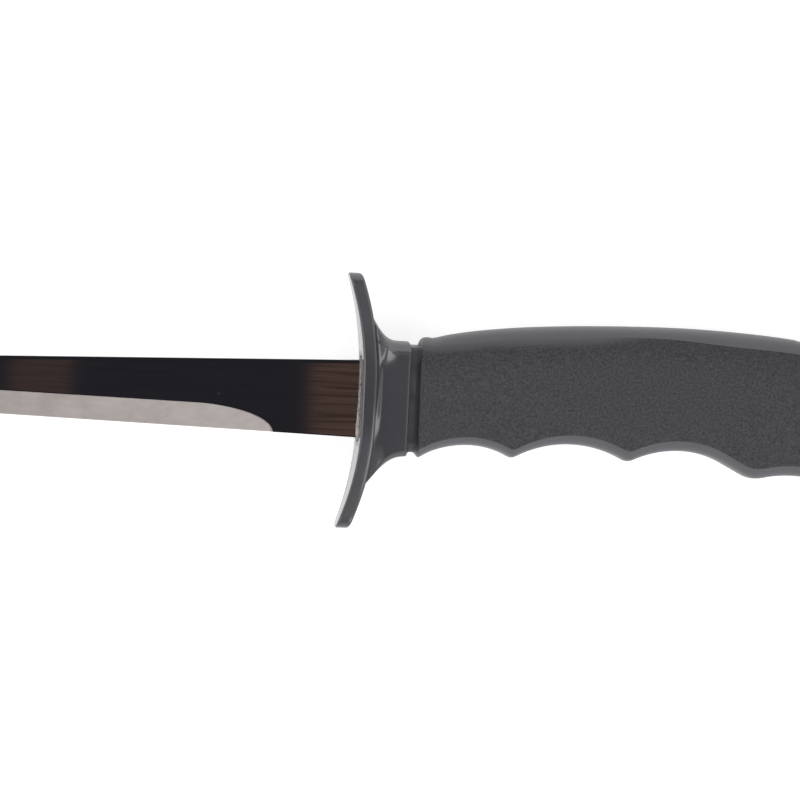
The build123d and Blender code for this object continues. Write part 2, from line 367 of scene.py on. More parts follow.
def mirrorSteel():
    # polished flats: faint long grinding lines, slow waves, a little dust, and a painted warm streaked
    # reflection close to the guard
    b = blade
    finish, tree, shader = newFinish("mirrorSteel")
    plain = place(tree)
    lines = noiseOf(tree, place(tree, (45, 1700, 1700)), 1.0, 4, 0.6)
    hairlines = noiseOf(tree, place(tree, (60, 5200, 5200)), 1.0, 2)
    waves = noiseOf(tree, plain, 26, 1)
    specks = dustSpecks(tree, plain, 330, 0.90)
    # close to the guard the tint turns to warm streaks: a painted reflection
    nearGuard = mapRange(tree, partsOf(tree, plain)[0], zero.x + b["reflectionStreakStart"] * mm,
                         zero.x + b["reflectionStreakFull"] * mm)
    tint = mixColour(tree, nearGuard, ramp(tree, lines, b["evenTints"]), ramp(tree, lines, b["reflectionStreakTints"]))
    tree.links.new(mixColour(tree, specks, tint, b["dustTint"]), shader.inputs["Base Color"])
    shader.inputs["Metallic"].default_value = 1.0
    smooth = mapRange(tree, lines, 0.3, 0.7, *b["mirrorRough"])
    rough = mathOf(tree, "ADD", smooth, times(tree, specks, b["dustRough"]))
    tree.links.new(rough, shader.inputs["Roughness"])
    low = bumpOf(tree, waves, 0.05, 0.0002)
    tree.links.new(bumpOf(tree, hairlines, 0.02, 0.00002, low), shader.inputs["Normal"])
    return finish


def satinSteel():
    # ground bevel: a soft sheen, with faint cloudy marks drawn out along it
    finish, tree, shader = newFinish("satinSteel")
    marks = noiseOf(tree, place(tree, (420, 900, 900)), 1.0, 4, 0.6)
    strokes = noiseOf(tree, place(tree, (40, 2600, 2600)), 1.0, 2)
    patch = noiseOf(tree, place(tree), 160, 3)
    tree.links.new(ramp(tree, marks, blade["satinTints"]), shader.inputs["Base Color"])
    shader.inputs["Metallic"].default_value = 1.0
    tree.links.new(mapRange(tree, patch, 0.3, 0.7, *blade["satinRough"]), shader.inputs["Roughness"])
    low = bumpOf(tree, marks, 0.05, 0.00003)
    tree.links.new(bumpOf(tree, strokes, 0.06, 0.00002, low), shader.inputs["Normal"])
    return finish


bladePiece = makeBlade(mirrorSteel(), satinSteel())
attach(bladePiece, "root")
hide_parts("blade")
print("blade made")

# the guard: a swept plate with a pocket in front and a flared collar behind
guard = {
    "front": -0.12, "plate": 3.14, "flat": 5.0, "sweepRadius": 68.0, "sweepLower": 65.5,
    "upperTip": anchor["upperTip"], "lowerTip": 28.9, "half": 9.25,
    "tipHalf": 4.9, "tipHeight": 2.4, "tipPower": 2.8, "frontRim": 0.60, "rearRim": 0.60,
    "collarEnd": anchor["collarEnd"], "collarTop": 13.15, "collarLow": 12.05, "collarHalf": 8.3,
    "collarRim": 0.58, "collarCrown": 0.40, "crownWide": 6.0, "crownStart": 11.0, "crownFade": 1.8,
    "cornerTop": 2.3, "cornerLow": 1.3, "creaseTilt": 24.0, "tiltShare": 0.4,
    "creaseDepth": 0.10, "creaseRun": 0.8,
    "cornerAtPlate": 4.3, "cornerSpread": 1.9, "cornerPower": 1.3,  # the top corner widens at the plate
    # each flare: its height, length, power and where it ends
    "flareTop": (5.0, 5.6, 3.2, 8.9), "flareLow": (5.6, 7.0, 2.6, 10.5),
    "flareSide": (0.85, 0.95, 1.9, 4.4), "sideFade": (-11.0, 4.0, 0.05),  # the side flare fades out below
    "webStart": 8.0, "webBlend": 0.8, "webSlope": 0.22,  # lift of the side by the plate
    "webFull": 3.6, "webEnd": 8.2,
    # the collar stays inside the plate's edge: how far back, below and above, with a blend between
    "limitReach": (5.5, 2.6), "limitFrom": -2.0, "limitOver": 8.0, "limitStart": 0.1, "limitSoft": 0.5,
    "chinStart": 10.9, "chinRise": 0.9, "chinReach": 0.45, "chinInset": 1.35,  # lip under the neck
    "neckInset": 2.6,
    "pocketDepth": 0.8, "pocketMargin": 0.85, "pocketSide": 1.2, "pocketCorner": 0.5, "mouth": 0.14,
    "slotInset": 1.0, "slotCorner": 0.3, "seam": 0.03,
    "sidePoints": 60, "cornerPoints": 9, "endPoints": 17, "collarRings": 34, "ringCrowding": 1.35,
    "tints": ((0.3, (0.040, 0.0395, 0.045)), (0.7, (0.048, 0.0475, 0.054))), "rough": (0.12, 0.20),
    "dustTint": (0.15, 0.15, 0.16), "specular": (0.5, 0.05), "refraction": 1.58,
    # painted light on faces turned towards the spine: where it starts, its tint, and the roughness and
    # mattness it adds
    "topLightFrom": (0.3, 0.6), "paintedTopLightTint": (0.112, 0.110, 0.122), "topLightRough": 0.3, "topLightMatt": 0.45,
    # painted shade round the blade's root: which faces, how soft its sides, how far out, its tint and
    # roughness
    "rootShadeFacing": (-0.9, -0.8), "rootShadeSoft": 2.2, "rootShadeReach": (3.0, 8.2),
    "rootShadeTint": (0.018, 0.0175, 0.021), "rootShadeRough": 0.5,
}


def guardSweep(y):
    rise = max(abs(y) - guard["flat"], 0)
    radius = guard["sweepRadius"] if y > 0 else guard["sweepLower"]
    return guard["front"] + sqrt(radius**2 - rise**2) - radius


def ringOfCorners(low, top, half, cornerLow, cornerTop, tilt=0.0):
    # a rounded rectangle, always with as many points; a tilt leaves a crease beside each corner
    g = guard
    start, end = radians(tilt), radians(90 - tilt * g["tiltShare"])

    def corner(y, z, size, upwards, outwards, sideFirst):
        turn = []
        for a in spread(start, end, g["cornerPoints"]):
            up = (cos(start) - cos(a)) / (cos(start) - cos(end))
            across = (sin(a) - sin(start)) / (sin(end) - sin(start))
            turn.append((y - upwards * size * (1 - across), z - outwards * size * up))
        return (turn if sideFirst else list(reversed(turn)))[:-1]

    points = [(y, half) for y in spread(low + cornerLow, top - cornerTop, g["sidePoints"])[:-1]]
    points += corner(top, half, cornerTop, 1, 1, True)
    points += [(top, z) for z in spread(half - cornerTop, cornerTop - half, g["endPoints"])[:-1]]
    points += corner(top, -half, cornerTop, 1, -1, False)
    points += [(y, -half) for y in spread(top - cornerTop, low + cornerLow, g["sidePoints"])[:-1]]
    points += corner(low, -half, cornerLow, -1, -1, True)
    points += [(low, z) for z in spread(cornerLow - half, half - cornerLow, g["endPoints"])[:-1]]
    points += corner(low, half, cornerLow, -1, 1, False)
    return points


def plateEnds():  # the heights where the plate's tips start
    return guard["upperTip"] - guard["tipHeight"], guard["tipHeight"] - guard["lowerTip"]


def ovalHalf(y):
    # half thickness of the plate at a height y, before the tips are rounded
    g = guard
    top, low = plateEnds()
    middle, reach = (top + low) / 2, (top - low) / 2
    drop = g["half"] - g["tipHalf"]
    radius = (reach**2 + drop**2) / (2 * drop)
    return g["half"] - radius + sqrt(max(radius**2 - (y - middle) ** 2, 0))


def ovalRing():
    # the plate's outline from the front, with as many points as a rounded rectangle
    g = guard
    top, low = plateEnds()
    steps = 2 * (g["cornerPoints"] - 1) + g["endPoints"] - 1

    def tipArc(start, outwards):
        arc = []
        for a in spread(0, pi, steps + 1)[:-1]:
            z = g["tipHalf"] * abs(cos(a)) ** (2 / g["tipPower"]) * (1 if a < pi / 2 else -1)
            arc.append((start + outwards * g["tipHeight"] * sin(a) ** (2 / g["tipPower"]), z * outwards))
        return arc

    side = [(y, ovalHalf(y)) for y in spread(low, top, g["sidePoints"])[:-1]]
    back = [(y, -ovalHalf(y)) for y in spread(top, low, g["sidePoints"])[:-1]]
    return side + tipArc(top, 1) + back + tipArc(low, -1)


def inset(ring, distance):
    # the ring moved inwards, square to its own line
    count = len(ring)
    moved = []
    for i, (y, z) in enumerate(ring):
        before, after = ring[i - 1], ring[(i + 1) % count]
        along = Vector((after[0] - before[0], after[1] - before[1])).normalized()
        moved.append((y + along.y * distance, z - along.x * distance))
    return moved


def mixRings(first, second, share):
    return [(mix(a[0], b[0], share), mix(a[1], b[1], share)) for a, b in zip(first, second)]


def flareAt(x, profile):
    height, length, power, end = profile
    return height * (max(end - x, 0) / length) ** power


def collarRing(x):
    # the collar's outline at x: crowned on top, flared towards the plate and creased beside the top corners
    g = guard
    nearPlate = min(max((g["plate"] + g["cornerSpread"] - x) / g["cornerSpread"], 0), 1) ** g["cornerPower"]
    ring = ringOfCorners(
        -g["collarLow"] - flareAt(x, g["flareLow"]), g["collarTop"] + flareAt(x, g["flareTop"]),
        g["collarHalf"], g["cornerLow"], mix(g["cornerTop"], g["cornerAtPlate"], nearPlate), g["creaseTilt"])
    nearCrease = g["sidePoints"] - 1
    creases = (nearCrease, nearCrease + 2 * (g["cornerPoints"] - 1) + g["endPoints"] - 1)
    lifted = ease((g["webEnd"] - x) / (g["webEnd"] - g["webFull"]))
    lowFade, highFade, least = g["sideFade"]
    plateTop, plateLow = plateEnds()
    kept = []
    for i, (y, z) in enumerate(ring):
        side = 1 if z > 0 else -1
        crowned = ease((y - g["crownStart"]) / g["crownFade"])
        y -= g["collarCrown"] * min(abs(z) / g["crownWide"], 1) ** 2 * crowned
        fading = mix(least, 1.0, ease((y - lowFade) / (highFade - lowFade)))
        limitReach = mix(*g["limitReach"], ease((y - g["limitFrom"]) / g["limitOver"]))
        share = min(abs(z) / g["collarHalf"], 1) ** 4
        web = g["webSlope"] * softMax(y - g["webStart"], 0.0, g["webBlend"]) * lifted
        z = side * (abs(z) + share * (flareAt(x, g["flareSide"]) * fading + web))
        atPlate = ovalHalf(min(max(y, plateLow), plateTop)) - g["rearRim"]
        limit = mix(atPlate, g["half"], ease((x - g["plate"] - g["limitStart"]) / limitReach))
        z = side * softMin(abs(z), limit, g["limitSoft"] * share + 0.01)
        if i in creases:
            z -= side * g["creaseDepth"] * ease((x - g["plate"]) / g["creaseRun"])
        kept.append((y, z))
    return kept


def makeGuard(finish):
    g = guard
    rings = []

    def flat(x, ring):
        rings.append([(x, y, z) for y, z in ring])

    def swept(behind, ring, sweep=1.0):  # behind the plate's front, which sweeps back towards its tips
        rings.append([(behind + guardSweep(y) * sweep, y, z) for y, z in ring])

    # front: the floor of the pocket, its mouth, the face and the front rim
    low, top = edgeY(0) - g["pocketMargin"], spineY(0) + g["pocketMargin"]
    half, deep = blade["halfThick"] + g["pocketSide"], g["slotInset"]
    pocket = ringOfCorners(low, top, half, g["pocketCorner"], g["pocketCorner"])
    slot = ringOfCorners(low + deep, top - deep, half - deep, g["slotCorner"], g["slotCorner"])
    flat(g["pocketDepth"], slot)
    flat(g["pocketDepth"], pocket)
    for a in spread(0, pi / 2, 4):
        swept(g["mouth"] * (1 - sin(a)), inset(pocket, -g["mouth"] * (1 - cos(a))))
    oval = ovalRing()
    mouth, face = inset(pocket, -g["mouth"]), inset(oval, g["frontRim"])
    for share in spread(0, 1, 9)[1:]:
        swept(0.0, mixRings(mouth, face, share))
    for a in spread(0, pi / 2, 6)[1:]:
        swept(g["frontRim"] * (1 - cos(a)), inset(oval, g["frontRim"] * (1 - sin(a))))

    # the plate's edge, its rear rim and the rear face up to the collar
    for share in (0.35, 0.65):
        swept(mix(g["frontRim"], g["plate"] - g["rearRim"], share), oval)
    for a in spread(0, pi / 2, 7):
        swept(g["plate"] - g["rearRim"] * (1 - sin(a)), inset(oval, g["rearRim"] * (1 - cos(a))))
    rear, base = inset(oval, g["rearRim"]), collarRing(g["plate"] + g["seam"])
    for share in spread(0, 1, 7)[1:-1]:
        swept(g["plate"] + g["seam"] * share, mixRings(rear, base, share))

    # the collar, its rim and the end face with a lip under the neck
    span = g["collarEnd"] - g["collarRim"] - g["plate"] - g["seam"]
    for share in spread(0, 1, g["collarRings"]):
        local = g["plate"] + g["seam"] + span * share ** g["ringCrowding"]
        swept(local, collarRing(local), 1 - (local - g["plate"]) / (g["collarEnd"] - g["plate"]))
    last = collarRing(g["collarEnd"] - g["collarRim"])
    for a in spread(0, pi / 2, 6)[1:]:
        flat(g["collarEnd"] - g["collarRim"] * (1 - sin(a)), inset(last, g["collarRim"] * (1 - cos(a))))
    for share in spread(0, 1, 5)[1:]:
        ring = []
        for y, z in inset(last, mix(g["collarRim"], g["chinInset"], share)):
            chin = ease((-y - g["chinStart"]) / g["chinRise"] + 1)
            ring.append((g["collarEnd"] + g["chinReach"] * share * chin, y, z))
        rings.append(ring)
    flat(g["collarEnd"], inset(last, g["neckInset"]))
    return skinRings("guardBody", rings, [finish], sharpAngle=17)


def paintedRootShade(tree, plain, facing):
    # painted shade: 1 on the forward face round the blade's root, as high as the blade, with soft sides
    g = guard
    soft = g["rootShadeSoft"]
    spot = partsOf(tree, plain)
    forward = mapRange(tree, facing[0], *g["rootShadeFacing"], 1, 0)
    above = mapRange(tree, spot[1], zero.y + (edgeY(0) - soft) * mm, zero.y + (edgeY(0) + soft) * mm)
    below = mapRange(tree, spot[1], zero.y + (spineY(0) - soft) * mm, zero.y + (spineY(0) + soft) * mm, 1, 0)
    aside = mathOf(tree, "ABSOLUTE", mathOf(tree, "SUBTRACT", spot[2], zero.z))
    shadeNear, shadeFar = g["rootShadeReach"]
    close = mapRange(tree, aside, shadeNear * mm, shadeFar * mm, 1, 0)
    return times(tree, times(tree, forward, close), times(tree, above, below))


def glossPlastic():
    # moulded charcoal plastic: gloss with a faint orange peel, hairline wear and dust, painted shade round
    # the blade's root and painted light on faces turned towards the spine
    g = guard
    finish, tree, shader = newFinish("guardGloss")
    plain = place(tree)
    peel = noiseOf(tree, plain, 700, 2)
    cloud = noiseOf(tree, plain, 120, 4)
    scuffs = noiseOf(tree, place(tree, (260, 2600, 700)), 1.0, 3, 0.7)
    specks = dustSpecks(tree, plain, 420, 0.93)
    facing = partsOf(tree, tree.nodes.new("ShaderNodeNewGeometry").outputs["Normal"])
    rootShade = paintedRootShade(tree, plain, facing)
    paintedTopLight = mapRange(tree, facing[1], *g["topLightFrom"])  # painted light: paler on faces turned towards the spine, which are also made rougher and less glossy
    tint = mixColour(tree, paintedTopLight, ramp(tree, cloud, g["tints"]), g["paintedTopLightTint"])
    tint = mixColour(tree, specks, tint, g["dustTint"])
    # painted shade: the forward face goes dark round the blade's root
    tree.links.new(mixColour(tree, rootShade, tint, g["rootShadeTint"]), shader.inputs["Base Color"])
    rough = mapRange(tree, scuffs, 0.35, 0.75, *g["rough"])
    rough = mathOf(tree, "ADD", rough, times(tree, rootShade, g["rootShadeRough"]))
    rough = mathOf(tree, "ADD", rough, times(tree, paintedTopLight, g["topLightRough"]))
    tree.links.new(rough, shader.inputs["Roughness"])
    matt = mathOf(tree, "MAXIMUM", rootShade, times(tree, paintedTopLight, g["topLightMatt"]))
    tree.links.new(mapRange(tree, matt, 0, 1, *g["specular"]), shader.inputs["Specular IOR Level"])
    shader.inputs["IOR"].default_value = g["refraction"]
    tree.links.new(bumpOf(tree, peel, 0.10, 0.00006), shader.inputs["Normal"])
    return finish


guardPiece = makeGuard(glossPlastic())
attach(guardPiece, "root")
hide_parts("guard")
print("guard made")

# the bead of sealing compound round the blade's root
bead = {
    "width": 0.42, "lowerExtra": 0.12, "proud": 0.40, "lowerProud": 0.38, "lowerFrom": 2.0, "lowerOver": 9.0,
    "corner": 0.25, "around": 300, "bulge": 0.15, "bulgePowers": (0.8, 0.9),
    "lumps": 0.13, "seed": 4.7, "lumpScale": 0.9, "fineScale": 3.1,
    "tints": ((0.36, (0.16, 0.13, 0.12)), (0.46, (0.38, 0.34, 0.31)),
              (0.62, (0.50, 0.46, 0.43)), (0.72, (0.66, 0.63, 0.61))),
    "patchy": (0.75, 1.05), "fade": (1.08, 0.42), "rough": 0.62,
}


def makeBead(finish):
    low, top, half = edgeY(0), spineY(0), blade["halfThick"]
    corner = bead["corner"]
    path = []
    sides = [((low + corner, half), (top - corner, half), (0, 1)),
             ((top, half - corner), (top, corner - half), (1, 0)),
             ((top - corner, -half), (low + corner, -half), (0, -1)),
             ((low, corner - half), (low, half - corner), (-1, 0))]
    perimeter = 2 * (top - low) + 4 * half
    for (y0, z0), (y1, z1), out in sides:
        count = max(int(bead["around"] * (abs(y1 - y0) + abs(z1 - z0)) / perimeter), 5)
        for share in spread(0, 1, count):
            path.append((mix(y0, y1, share), mix(z0, z1, share), out))
    rings = []
    frontPower, sidePower = bead["bulgePowers"]
    for y, z, (outY, outZ) in path:
        wobble = noise.noise(Vector((y * bead["lumpScale"], z * bead["lumpScale"], bead["seed"])))
        fine = noise.noise(Vector((y * bead["fineScale"], z * bead["fineScale"], bead["seed"] * 2)))
        lower = ease((bead["lowerFrom"] - y) / bead["lowerOver"])
        wide = bead["width"] + bead["lowerExtra"] * lower + bead["lumps"] * (wobble + 0.5 * fine)
        proud = bead["proud"] + bead["lowerProud"] * lower + bead["lumps"] * (wobble - 0.4 * fine)
        profile = [(guard["pocketDepth"], 0.0), (-proud, 0.0)]
        for a in spread(0, pi / 2, 9)[1:]:
            reach = -proud * cos(a) ** frontPower + bead["bulge"] * sin(a)
            profile.append((reach, wide * sin(a) ** sidePower))
        profile.append((guard["pocketDepth"], wide))
        rings.append([(x, y + outY * out, z + outZ * out) for x, out in profile])
    return skinRings("beadBody", rings, [finish], closedLength=True, capStart=False, capEnd=False,
                     sharpAngle=60)


def speckledCompound():
    # beige filler with dark and pale specks, greyer towards the spine
    finish, tree, shader = newFinish("sealingCompound")
    plain = place(tree)
    specks = noiseOf(tree, plain, 2600, 2, 0.6)
    blotch = noiseOf(tree, plain, 700, 3)
    patchy = mapRange(tree, blotch, 0.35, 0.65, *bead["patchy"])
    height = partsOf(tree, plain)[1]
    fade = mapRange(tree, height, zero.y + edgeY(0) * mm, zero.y + spineY(0) * mm, *bead["fade"])
    scale = tree.nodes.new("ShaderNodeVectorMath")
    scale.operation = "SCALE"
    tree.links.new(ramp(tree, specks, bead["tints"]), scale.inputs[0])
    tree.links.new(times(tree, patchy, fade), scale.inputs["Scale"])
    tree.links.new(scale.outputs[0], shader.inputs["Base Color"])
    shader.inputs["Roughness"].default_value = bead["rough"]
    tree.links.new(bumpOf(tree, specks, 0.6, 0.0001), shader.inputs["Normal"])
    return finish


beadPiece = makeBead(speckledCompound())
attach(beadPiece, "root")
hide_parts("blade_bead")
print("bead made")

# the grip: finger grooves below, a smooth band on the back and grained panels between
grip = {
    "front": 12.62, "frontLean": 0.012, "frontBow": 0.35, "frontReach": 4.0, "end": 121.6,
    "half": 9.2, "frontHalf": 8.7, "buttHalf": 8.6, "swellLength": 100.0,
    "buttRound": 9.0, "buttPower": 3.2,
    "back": ((12.4, 14.1), (14.4, 14.28), (15.6, 14.17), (19.25, 15.07), (25.9, 16.26), (36.9, 17.51),
             (52.5, 18.42), (70.2, 18.76), (84.0, 18.31), (96.8, 17.23), (108.0, 15.3), (118.0, 12.5)),
    # each groove: its middle, its height and its radius before and after the middle
    "grooves": ((24.4, -9.25, 22.0, 18.7), (47.0, -8.14, 25.0, 25.0),
                (71.5, -8.55, 24.0, 20.5), (96.5, -13.02, 27.0, 27.0)),
    "steepest": 27.5, "crestBlend": (0.8, 1.2, 2.0),
    # butt: its centre, length and the reach up and down
    "butt": (107.0, -1.8, 14.6, 17.2, 15.3), "buttPowers": (2.2, 2.4), "hookBlend": 3.0, "topBlend": 1.5,
    "edgeY": 1.75, "edgeMore": 0.4, "edgeGrow": (30.0, 30.0),
    "edgeZ": 3.4, "edgeTurn": 65.0, "edgeShelf": 0.25,
    "crown": 0.25, "shelfCrown": 0.97, "bellyCrown": 0.3, "bellyTall": 10.0,
    "backDepth": 10.0, "backMore": 3.5, "backGrow": (70.0, 35.0), "backPower": 2.7,
    "mostShares": (0.12, 0.6, 0.45),  # the most that the edge's height and width and the back may take
    "chin": 1.55, "chinTop": -10.3, "chinRise": 0.9, "lipShrink": (0.11, 0.13),
    "panelEdge": ((12.4, 12.65), (16.7, 12.7), (30.0, 14.4), (47.7, 15.6), (64.8, 16.4), (81.8, 15.3),
                  (97.2, 14.15), (108.0, 12.2), (121.0, 8.0)),
    "panelStep": 0.17, "stepWide": 0.14, "stepStart": 50.0, "stepFull": 68.0, "stepTall": 4.0,
    "softBand": 2.2, "crispBand": 0.3, "bandGrain": 0.25, "edgeClamp": (0.3, 0.14),
    "creaseLow": (92.9, 15.1), "creaseTop": (96.7, 17.3), "creaseStep": 0.14, "creaseWide": 0.45,
    "grainEnd": (114.5, 118.0), "noseRound": 0.40, "noseTop": 1.10,
    "noseCount": 12, "bodyCount": 380, "buttCount": 44, "buttReach": 12.0,
    "holeX": 111.65, "holeY": -3.0, "holeRadius": 3.0, "holeLip": 1.0, "lipPower": 1.6, "lipProud": 0.25,
    # the smooth bands' paler tint is painted light, for the light their turned faces catch
    "paintedLightSmoothTints": ((0.3, (0.070, 0.069, 0.078)), (0.7, (0.080, 0.079, 0.088))),
    "grainTints": ((0.34, (0.008, 0.008, 0.011)), (0.68, (0.040, 0.039, 0.046))),
    "dustTint": (0.13, 0.13, 0.14), "rough": (0.44, 0.60), "grainDepth": (0.05, 0.85), "refraction": 1.48,
}


def gripFloor(x):
    y = None
    steep = radians(grip["steepest"])
    for i, (middle, height, before, after) in enumerate(grip["grooves"]):
        radius = before if x < middle else after
        run = abs(x - middle)
        past = max(run - radius * sin(steep), 0)
        arc = height - radius + sqrt(radius**2 - (run - past) ** 2) - past * tan(steep)
        y = arc if y is None else softMax(y, arc, grip["crestBlend"][i - 1])
    return y


def gripSpan(x):
    # lowest and highest point of the grip's side view at x
    low, top = gripFloor(x), curveThrough(grip["back"], x)
    centreX, centreY, long, up, down = grip["butt"]
    if x > centreX:
        run = min((x - centreX) / long, 1.0)
        upPower, downPower = grip["buttPowers"]
        arcTop = centreY + up * (1 - run**upPower) ** (1 / upPower)
        arcLow = centreY - down * (1 - run**downPower) ** (1 / downPower)
        top = softMin(top, arcTop, grip["topBlend"] * (1 - run) + 0.02)
        low = softMax(low, arcLow, grip["hookBlend"] * (1 - run) + 0.02)
    return low, top


def gripHalf(x):
    g = grip
    swell = sin(pi * min(max((x - g["front"]) / g["swellLength"], 0), 1))
    half = mix(g["frontHalf"], g["half"], swell)
    toEnd = max(x - (g["end"] - g["buttRound"]), 0) / g["buttRound"]
    if not toEnd:
        return half
    rounded = (1 - min(toEnd, 1) ** g["buttPower"]) ** (1 / g["buttPower"])
    return mix(half, g["buttHalf"], ease(toEnd)) * rounded


def ledgeAt(x, y):
    # behind a slanting crease near the butt the smooth band lies a little lower
    g = grip
    (x0, y0), (x1, y1) = g["creaseLow"], g["creaseTop"]
    line = mix(x0, x1, min(max((y - y0) / (y1 - y0), -0.5), 1.5))
    return g["creaseStep"] * ease((x - line) / g["creaseWide"])


def gripSection(x, half):
    # half of the grip's outline across the knife, from the belly to the back, with its grain
    g = grip
    low, top = gripSpan(x)
    tall = max(top - low, 0.02)
    edgeShare, edgeZShare, backShare = g["mostShares"]
    (edgeFrom, edgeOver), (backFrom, backOver) = g["edgeGrow"], g["backGrow"]
    edgeHigh = min(g["edgeY"] + g["edgeMore"] * ease((x - edgeFrom) / edgeOver), tall * edgeShare)
    edgeZ = min(g["edgeZ"], half * edgeZShare)
    back = min(g["backDepth"] + g["backMore"] * ease((x - backFrom) / backOver), tall * backShare)
    fullness = min(tall / g["bellyTall"], 1)
    start = low + g["bellyCrown"] * fullness
    points = [(low + g["bellyCrown"] * (s * s) * fullness, s * (half - edgeZ), 0.0)
              for s in spread(0, 1, 7)[:-1]]
    turnEnd = radians(g["edgeTurn"])  # the rounding stops short of the side, which leaves a soft arris
    for a in spread(0, turnEnd, 11):
        high = edgeHigh * (1 - cos(a)) / (1 - cos(turnEnd))
        points.append((start + high, half - g["crown"] - edgeZ * (1 - sin(a) / sin(turnEnd)), 0.0))
    panelLow, panelTop = start + edgeHigh + g["edgeShelf"], top - back
    points.append((panelLow, half - g["crown"] * g["shelfCrown"], 1.0))
    for s in spread(0, 1, 15)[1:-1]:
        lift = 1 - (2 * s - 1) ** 2 * (1 if s < 0.5 else 0.0)
        points.append((mix(panelLow, panelTop, s), half - g["crown"] * (1 - lift), 1.0))
    return points + gripBack(x, half, top, back)


def gripBack(x, half, top, back):
    # from the top of the panel over the edge of the smooth band to the ridge of the back
    g = grip
    panelTop, power = top - back, g["backPower"]
    points = []

    def backZ(y):
        share = min(max((y - panelTop) / back, 0), 1)
        return half * (1 - share**power) ** (1 / power)

    lowest, highest = panelTop + g["edgeClamp"][0] * back, top - g["edgeClamp"][1] * back
    edge = min(max(curveThrough(g["panelEdge"], x), lowest), highest)
    crisp = ease((x - g["stepStart"]) / (g["stepFull"] - g["stepStart"]))
    soft = mix(g["softBand"], g["crispBand"], crisp)
    for s in spread(0, 1, 17):
        y = mix(panelTop, edge, 1 - (1 - s) ** 1.5)
        points.append((y, backZ(y), mix(mix(g["bandGrain"], 1.0, crisp), 1.0, ease((edge - y) / soft))))
    step = g["panelStep"] * crisp * min(half / g["stepTall"], 1)
    wide = g["stepWide"]
    points.append((edge + wide, backZ(edge + wide) + step, 0.1 * (1 - crisp)))
    points.append((edge + 2 * wide, backZ(edge + 2 * wide) + step, 0.0))
    turn = (1 - min((edge + 2 * wide - panelTop) / back, 1) ** power) ** (1 / power)
    for s in spread(0, 1, 13)[1:]:
        share = mix(turn, 0.0, s)
        y = panelTop + back * (1 - share**power) ** (1 / power)
        ledge = ledgeAt(x, y)
        points.append((y - ledge * s, half * share + step * (1 - s) - ledge * (1 - s), 0.0))
    return points


def gripStations():
    # where the cross sections stand, closest together at the front and at the butt
    g = grip
    bodyStart, bodyEnd = g["front"] + g["noseTop"], g["end"] - g["buttReach"]
    nose = [g["front"] + g["noseTop"] * (1 - cos(a)) for a in spread(0, pi / 2, g["noseCount"])]
    butt = [g["end"] - g["buttReach"] * cos(a) for a in spread(0, pi / 2 - 0.03, g["buttCount"])[1:]]
    return nose + spread(bodyStart, bodyEnd, g["bodyCount"])[1:] + butt


def drawnIn(run, size):  # how far a rounded end draws in, at a distance run behind its front
    short = max(1 - run / size, 0)
    return size * (1 - sqrt(1 - short * short))


def makeGrip(finish):
    g = grip
    rings, grain = [], []
    grainStart, grainStop = g["grainEnd"]
    for x in gripStations():
        half = gripHalf(x)
        pull = drawnIn(x - g["front"], g["noseRound"])
        pullTop = drawnIn(x - g["front"], g["noseTop"])
        section = gripSection(x, half)
        low, top = gripSpan(x)
        middle, reach = (low + top) / 2, (top - low) / 2
        nearFront = ease((g["front"] + g["frontReach"] - x) / g["frontReach"])
        oneSide = []
        for y, z, _ in section:
            shift = (g["frontBow"] * (1 - z / half) - g["frontLean"] * y) * nearFront
            shrink = 1 - (pullTop if y > middle else pull) / reach
            oneSide.append((x + shift, middle + (y - middle) * shrink, z * (1 - pull / half)))
        kept = 1 - ease((x - grainStart) / (grainStop - grainStart))
        marks = [m * kept for _, _, m in section]
        rings.append(oneSide + [(px, py, -pz) for px, py, pz in reversed(oneSide[1:-1])])
        grain.append(marks + list(reversed(marks[1:-1])))
    first = rings[0]
    mouth = []
    shrinkY, shrinkZ = g["lipShrink"]
    for share in spread(0, 1, 6)[1:]:  # the front face, with a chin that reaches forward under the neck
        ring = []
        for px, py, pz in first:
            chin = ease((g["chinTop"] - py) / g["chinRise"]) * g["chin"] * share
            ring.append((px - chin, py * (1 - shrinkY * share), pz * (1 - shrinkZ * share)))
        mouth.append(ring)
    mouth.append([(px + g["chin"], py, pz) for px, py, pz in mouth[-1]])
    rings = list(reversed(mouth)) + rings
    grain = [[0.0] * len(first)] * len(mouth) + grain
    return skinRings("gripBody", rings, [finish], sharpAngle=50, grain=grain)


def cutHangHole(piece):
    # bores the hang hole and rounds its rims with a spool-shaped cutter
    g = grip
    turns, past, flare = 72, 3, 4
    lip = g["holeLip"]
    bottom = g["buttHalf"] + g["lipProud"]
    profile = [(-(g["half"] + past), g["holeRadius"] + lip + flare)]
    for a in spread(0, pi / 2, 7):
        profile.append((-bottom + lip * sin(a), g["holeRadius"] + lip * (1 - sin(a)) ** g["lipPower"]))
    profile += [(-z, r) for z, r in reversed(profile)]
    rings = []
    for z, r in profile:
        angles = [2 * pi * i / turns for i in range(turns)]
        rings.append([(g["holeX"] + r * cos(a), g["holeY"] + r * sin(a), z) for a in angles])
    cutter = skinRings("holeCutter", rings, [])
    cut = piece.modifiers.new("hole", "BOOLEAN")
    cut.operation, cut.solver, cut.object = "DIFFERENCE", "EXACT", cutter
    graph = bpy.context.evaluated_depsgraph_get()
    mesh = bpy.data.meshes.new_from_object(piece.evaluated_get(graph))
    piece.modifiers.clear()
    piece.data = mesh
    bpy.data.objects.remove(cutter)


